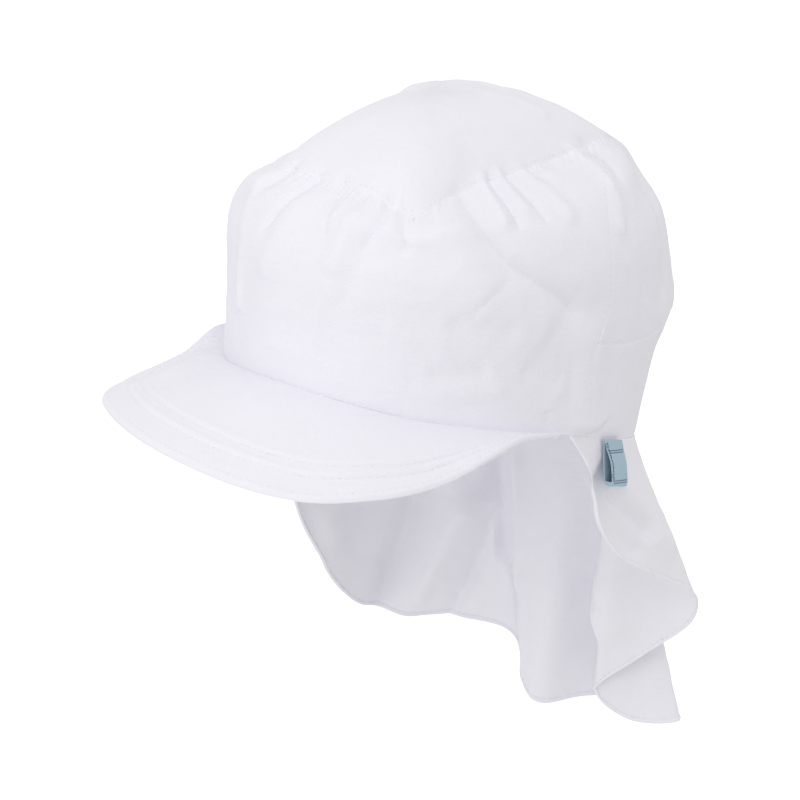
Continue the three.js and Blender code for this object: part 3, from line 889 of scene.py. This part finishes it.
def band_puckers(angle, up):
    """The ripples that the elastic draws into the band and the cloth above it."""
    chance = np.random.default_rng(8)
    start, end = side_seam(0.3), 360 - side_seam(0.3)
    top = band_top(angle)
    relief = np.zeros(angle.shape)
    pitch = (end - start) / PUCKERS
    for k in range(PUCKERS):
        place = start + (k + 0.5 + chance.uniform(-0.25, 0.25)) * pitch
        aside = angle % 360 - place - (up - top) * chance.uniform(-14, 14)
        wide = pitch * chance.uniform(0.25, 0.4)
        tall = chance.uniform(0.3, 1.0) * PUCKER_HEIGHT
        ripple = bump(aside, wide) - 0.4 * bump(aside, pitch, 4)
        relief += tall * ripple * np.exp(-(((up - top) / PUCKER_REACH) ** 2))
    return relief


def cloth_relief(points):
    """The uneven surface of washed cotton."""
    relief = 0.6 * MM * lumps(points, 26 * MM, 1)
    relief = relief + 0.4 * MM * (0.5 - np.abs(lumps(points, 12 * MM, 2)))
    return relief + 0.1 * MM * lumps(points, 5 * MM, 3)


def crown_surface(angle, up, depth, fine, puckers=False):
    """Points of the crown at a depth below its outer face. fine is the share of the gathers and
    puckers that shows, 1 on the outer face."""
    form = crown_form(angle, up)
    wall = np.minimum(up, 1.0)
    relief = fold_relief(CROWN_FOLDS, angle, wall, crown_form) * (1 - smooth((up - 1) / 0.1))
    relief = relief + fold_relief(TOP_FOLDS, angle, up, crown_form)
    gathers = gather_relief(angle, seam_reach(angle, wall))
    relief = relief + fine * gathers * (1 - smooth((up - 1) / 0.05))
    relief = relief + cloth_relief(form) * smooth(up / 0.17)
    relief = relief * smooth(up / 0.06)
    if puckers:
        relief = relief + fine * band_puckers(angle, up) * smooth(up / 0.1)
    return form + crown_normal(angle, up) * (relief - depth)[..., None]


def seam_dip(distance, depth):
    """The dip beside a seam, where the cloth turns in. depth is in millimetres."""
    return -depth * MM * bump(distance, 0.8 * MM, 1.6)


def crown_patch(name, size, stretch, low, high, dips, puckers=False, **closing):
    """A patch of the crown between two heights. stretch gives the angles where it ends, and dips
    the depths of the seams along its bottom, top and sides. Returns its outer points."""
    columns, rows = size
    column = np.linspace(0, 1, columns + 1)[:, None]
    row = np.linspace(0, 1, rows + 1)[None]
    up = np.full((1, 1), 0.5)
    for _ in range(SEAM_PASSES):
        angle = mix(*stretch(up), column)
        up = mix(low(angle), high(angle), row)
    outer = crown_surface(angle, up, 0, 1, puckers)
    climb, width = along_grid(outer, 1), along_grid(outer, 0)
    bottom, top, sides = dips
    dip = seam_dip(climb, bottom) + seam_dip(climb[:, -1:] - climb, top)
    dip = dip + seam_dip(width, sides) + seam_dip(width[-1:] - width, sides)
    outer = outer + crown_normal(angle, up) * dip[..., None]
    inner = crown_surface(angle[::2, ::2], up[::2, ::2], CLOTH_THICKNESS, 0.3)
    if low is rim:
        for edge in (outer, inner):
            edge[:, 0, 2] -= SEAM_GAP
    piece = shell(name, outer, inner, cotton, crisp=True, **closing)
    dress(piece, "white_cotton", name.removesuffix("_cloth"))
    return outer


def cross_stitch(grid):
    """The two long stitches that cross at the front corner of the top panel."""
    column = round((CROSS_ANGLE / side_seam(1.0) + 1) / 2 * (len(grid) - 1))
    climb = along_grid(grid, 1)[column]
    row = int(np.argmin(np.abs(climb[-1] - climb - CROSS_BELOW)))
    across = unit(grid[column + 2, row] - grid[column - 2, row])
    upward = unit(grid[column, row + 1] - grid[column, row - 1])
    way = unit(np.cross(across, upward))
    arms = (CROSS_REACH * (across + upward), CROSS_REACH * (across - upward))
    return [(grid[column, row] - arm, grid[column, row] + arm, way, CROSS_RADIUS) for arm in arms]


def front_stretch(up):
    return -side_seam(up), side_seam(up)


def back_stretch(up):
    return side_seam(up), 360 - side_seam(up)


def all_round(up):
    return np.zeros_like(up), np.full_like(up, 360)


def rim(angle):
    return np.zeros_like(angle)


def top_seam(angle):
    return np.ones_like(angle)


def top_middle(angle):
    return np.full_like(angle, 2.0)


# Peak, flap and label


def peak_form(angle, out):
    root = crown_form(angle, 0)
    turn = np.radians(angle)
    outward = np.stack([np.sin(turn), -np.cos(turn), np.zeros_like(turn)], -1)
    overhang = read(PEAK_EDGE, "angle", "out", angle) * PEAK_LENGTH
    fall = read(PEAK_EDGE, "angle", "drop", angle) * PEAK_DROOP
    distance = mix(-CLOTH_THICKNESS, overhang, out)
    past = clamp01((distance - CLOTH_THICKNESS / 2) / (overhang - CLOTH_THICKNESS / 2))
    point = root + outward * distance[..., None]
    point[..., 2] -= SEAM_GAP + fall * mix(past**PEAK_CURL, past, PEAK_STRAIGHTNESS)
    return point


def rounded(distance, radius):
    """The half thickness of a rounded edge, by the distance from it."""
    share = clamp01(distance / radius)
    return radius * np.sqrt(1 - (1 - share) ** 2)


def peak():
    columns, rows = PEAK_GRID
    column = np.linspace(0, 1, columns + 1)[:, None]
    row = np.linspace(0, 1, rows + 1)[None] ** 1.3
    angle = mix(-PEAK_END, PEAK_END, column)
    angle, row = np.broadcast_arrays(angle, row)
    form = peak_form(angle, 1 - row)
    edge = along_grid(form, 1)
    overhang = read(PEAK_EDGE, "angle", "out", angle)
    inside = smooth((PEAK_END - np.abs(angle)) / PEAK_END_TURN)
    thickness = PEAK_THICKNESS * mix(PEAK_END_THINNING, 1, inside)
    half = np.minimum(rounded(edge, PEAK_THICKNESS / 2), thickness / 2)
    relief = fold_relief(PEAK_FOLDS, angle, 1 - row, peak_form) + 0.8 * cloth_relief(form)
    relief *= smooth(edge / (6 * MM))
    scale = np.maximum(overhang, 0.1) ** 0.7
    ends = smooth((overhang - 0.3) / 0.3)
    for inset, drop in zip(*PEAK_STEPS.values()):
        past = edge - inset * scale * MM
        relief -= ends * drop * MM * (1 - smooth(past / STEP_WIDTH + 0.5))
        relief += ends * 0.25 * MM * bump(past - STEP_WIDTH, 0.9 * MM)
    relief *= smooth((edge[:, -1:] - edge) / (4 * MM))
    upper, lower = form.copy(), form.copy()
    upper[..., 2] += half - thickness / 2 + relief
    lower[..., 2] += np.minimum(-half - thickness / 2, half - thickness / 2 + relief - 0.6 * MM)
    lower[:, 0] = upper[:, 0]
    piece = shell("peak_cover", upper, lower[::2, ::2], cotton)
    dress(piece, "white_cotton", "peak")
    normals = grid_normals(upper)
    stitches = []
    for inset, narrows, bare in PEAK_SEAMS:
        distance = edge / scale if narrows else edge
        reached = slice(bare, columns - bare)
        line, way = (line_at(grid, distance, inset * MM)[reached] for grid in (upper, normals))
        stitches += row_of_stitches(line, way, PEAK_STITCH)
    return stitches


def flap():
    columns, rows = FLAP_GRID
    angle = np.linspace(FLAP_START, 360 - FLAP_START, columns)[:, None]
    drop = np.linalg.norm(
        flap_form(angle, np.zeros_like(angle)) - flap_form(angle, np.ones_like(angle)), axis=-1
    )
    hem = np.array(HEM_ROWS)[None] * MM / np.maximum(drop, SHORTEST_FLAP)
    rest = np.linspace(0, 1, rows)[None, 1:]
    down = 1 - np.concatenate([hem, mix(hem[:, -1:], 1, rest)], axis=1)
    angle = np.broadcast_to(angle, down.shape)
    form = flap_form(angle, down)
    normal = flap_normal(angle, down)
    relief = fold_relief(FLAP_FOLDS, angle, down, flap_form) + 1.2 * cloth_relief(form)
    relief = relief * smooth(down / 0.25) * mix(1, 0.5, smooth((down - 0.8) / 0.2))
    edge = along_grid(form, 1)
    bead = rounded(edge, 0.9 * MM)
    half = mix(bead, FLAP_THICKNESS / 2, smooth((edge - 1.1 * MM) / (1.0 * MM)))
    middle = relief - FLAP_THICKNESS / 2
    outer = form + normal * (middle + half)[..., None]
    inner = form + normal * (middle - half)[..., None]
    piece = shell("neck_flap_cloth", outer, inner, thin_cotton)
    dress(piece, "white_cotton", "neck_flap")
    stitches = []
    for grid, way in ((outer, 1), (inner, -1)):
        line, normals = (line_at(g, edge, HEM_INSET) for g in (grid, way * grid_normals(grid)))
        stitches += row_of_stitches(line, normals, HEM_STITCH, inset=12 * MM)
    return stitches


def label():
    """A folded loop of woven tape: down outside, round the fold and up inside."""
    ply = 0.42 * MM
    half_turn = math.degrees(LABEL_WIDTH / HEAD_WIDTH)
    across = crown_form(LABEL_ANGLE + half_turn, 0) - crown_form(LABEL_ANGLE - half_turn, 0)
    across[2] = 0
    across = unit(across)
    outward = np.array([across[1], -across[0], 0])
    bend = LABEL_THICKNESS / 2
    straight = LABEL_LENGTH - bend
    run = np.concatenate(
        [
            np.linspace(0, straight, 31),
            straight + np.linspace(0, math.pi * bend, 13)[1:],
            straight + math.pi * bend + np.linspace(0, straight, 31)[1:],
        ]
    )[::-1]
    turn = clamp01((run - straight) / (math.pi * bend)) * math.pi
    back = np.maximum(run - straight - math.pi * bend, 0)
    depth = np.minimum(run, straight) - back
    column = np.linspace(-0.5, 0.5, 17)[:, None]
    angle = LABEL_ANGLE + 2 * half_turn * column
    corner = 1.4 * MM * clamp01(np.abs(column) * 14 - 6) ** 2
    opening = LABEL_OPENING * smooth(depth / LABEL_LENGTH * 1.6) * mix(1, 0.6, column + 0.5)
    inner_stand = SEAM_GAP + ply + 0.9 * MM * depth / LABEL_LENGTH
    sheets = []
    for inset in (0, ply):
        half = opening / 2 + mix(ply, bend, smooth(depth / LABEL_LENGTH * 2)) - inset
        stand = inner_stand + opening / 2 + bend + half * np.cos(turn)
        height = depth + (bend - inset) * np.sin(turn)
        height = height - corner * smooth(depth / LABEL_LENGTH * 3 - 2)
        points = crown_form(LABEL_ANGLE, 0) + outward * stand[..., None]
        points = points + across * (column * LABEL_WIDTH)[..., None]
        points[..., 2] = rim_height(angle) - SEAM_GAP - height
        sheets.append(points)
    piece = shell("label_loop", *sheets, label_cloth)
    dress(piece, "label_cloth", "side_label")
    outer_ply = sheets[0][1]
    side = 0.55 * MM
    corners = []
    for k in range(ZIGZAG_TURNS + 1):
        drop = mix(1.5 * MM, LABEL_LENGTH - 2.4 * MM, k / ZIGZAG_TURNS)
        point = outer_ply[np.argmin(np.abs(run - drop))].copy()
        corners.append(point + across * (side if k % 2 else -0.2 * MM))
    return [(a, b, outward, 0.2 * MM) for a, b in zip(corners[:-1], corners[1:])]


# Studio


def area_light(name, place, size, power):
    light = bpy.data.lights.new(name, "AREA")
    light.energy = power
    light.size = size
    lamp = bpy.data.objects.new(name, light)
    lamp.location = place
    lamp.rotation_euler = (-Vector(place)).to_track_quat("-Z", "Y").to_euler()
    bpy.context.scene.collection.objects.link(lamp)


def studio():
    bpy.ops.mesh.primitive_circle_add(
        vertices=96, radius=FLOOR_RADIUS, fill_type="NGON", location=(0, 0, FLOOR_HEIGHT)
    )
    floor = bpy.context.object
    floor.name = "studio_floor"
    floor.data.materials.append(floor_material())
    floor.visible_diffuse = False
    world = bpy.data.worlds.new("studio")
    bpy.context.scene.world = world
    world.use_nodes = True
    background = world.node_tree.nodes["Background"]
    background.inputs["Color"].default_value = (1, 1, 1, 1)
    background.inputs["Strength"].default_value = SKY

    azimuth, elevation = math.radians(CAMERA_AZIMUTH), math.radians(CAMERA_ELEVATION)
    back = Vector(
        (
            math.sin(azimuth) * math.cos(elevation),
            -math.cos(azimuth) * math.cos(elevation),
            math.sin(elevation),
        )
    )
    right = Vector((math.cos(azimuth), math.sin(azimuth), 0))
    up = back.cross(right)
    area_light("key", back * 1.5 - right * 0.05 + up * 0.6, 0.8, 4.4)
    area_light("overhead", Vector((0, 0.1, 1.7)), 1.4, 4)
    area_light("behind", -back * 1.4 - right * 0.6 + up * 0.6, 1.0, 2.5)
    area_light("fill", back * 0.9 - right * 1.3 - up * 0.6, 0.9, 4.6)
    camera = bpy.data.cameras.new("camera")
    camera.sensor_width = SENSOR_WIDTH
    camera.lens = PIXELS_PER_METRE * CAMERA_DISTANCE / PICTURE_SIZE * SENSOR_WIDTH
    seat = bpy.data.objects.new("camera", camera)
    aside = (ORIGIN_PIXEL[0] - PICTURE_SIZE / 2) / PIXELS_PER_METRE
    above = (ORIGIN_PIXEL[1] - PICTURE_SIZE / 2) / PIXELS_PER_METRE
    place = back * CAMERA_DISTANCE - right * aside + up * above
    seat.matrix_world = Matrix.Translation(place) @ Matrix((right, up, back)).transposed().to_4x4()
    bpy.context.scene.collection.objects.link(seat)
    bpy.context.scene.camera = seat
    bpy.context.scene.view_settings.view_transform = "Standard"


cotton = cloth_material("white_cotton", COTTON, 0.88, 0.15, 0.35, 0.08 * MM)
thin_cotton = cloth_material("thin_cotton", COTTON, 0.88, 0.15, 0.35, 0.08 * MM, glow=0.4)
label_cloth = cloth_material(
    "label_cloth", LABEL_BLUE, 0.6, 0.1, 0.22, 0.06 * MM, stripes=LABEL_STRIPES
)
cotton_thread = thread_material("cotton_thread", COTTON)
navy_thread = thread_material("navy_thread", NAVY)

front = crown_patch(
    "front_panel_cloth", FRONT_GRID, front_stretch, rim, top_seam, (0.3, 0, 0.1)
)
back = crown_patch(
    "back_panel_cloth", BACK_GRID, back_stretch, band_top, top_seam, (0.3, 0, 0.1), True
)
band = crown_patch(
    "back_band_cloth", BAND_GRID, back_stretch, rim, band_top, (0.2, 0.3, 0.1), True
)
top = crown_patch(
    "crown_top_cloth",
    TOP_GRID,
    all_round,
    top_seam,
    top_middle,
    (0, 0, 0),
    wraps=True,
    tip=True,
)

seams = []
for grid, flip, inset in ((top, False, 1.6), (back, False, 1.5), (band, True, 1.6)):
    grid = grid[:, ::-1] if flip else grid
    way = grid_normals(grid) * (-1 if flip else 1)
    distance = along_grid(grid, 1)
    line, normals = (line_at(g, distance, inset * MM) for g in (grid, way))
    seams += row_of_stitches(line, normals, CROWN_STITCH)
for flip in (False, True):
    turned = (front[::-1] if flip else front).transpose(1, 0, 2)
    way = grid_normals(turned) * (1 if flip else -1)
    distance = along_grid(turned, 1)
    line, normals = (line_at(g, distance, SIDE_SEAM_INSET) for g in (turned, way))
    seams += row_of_stitches(line, normals, CROWN_STITCH)
threads("crown_stitches", seams + cross_stitch(front), "white_cotton", cotton_thread)
threads("peak_stitches", peak(), "white_cotton", cotton_thread)
threads("hem_stitches", flap(), "white_cotton", cotton_thread)
threads("label_stitches", label(), "label_cloth", navy_thread)
studio()
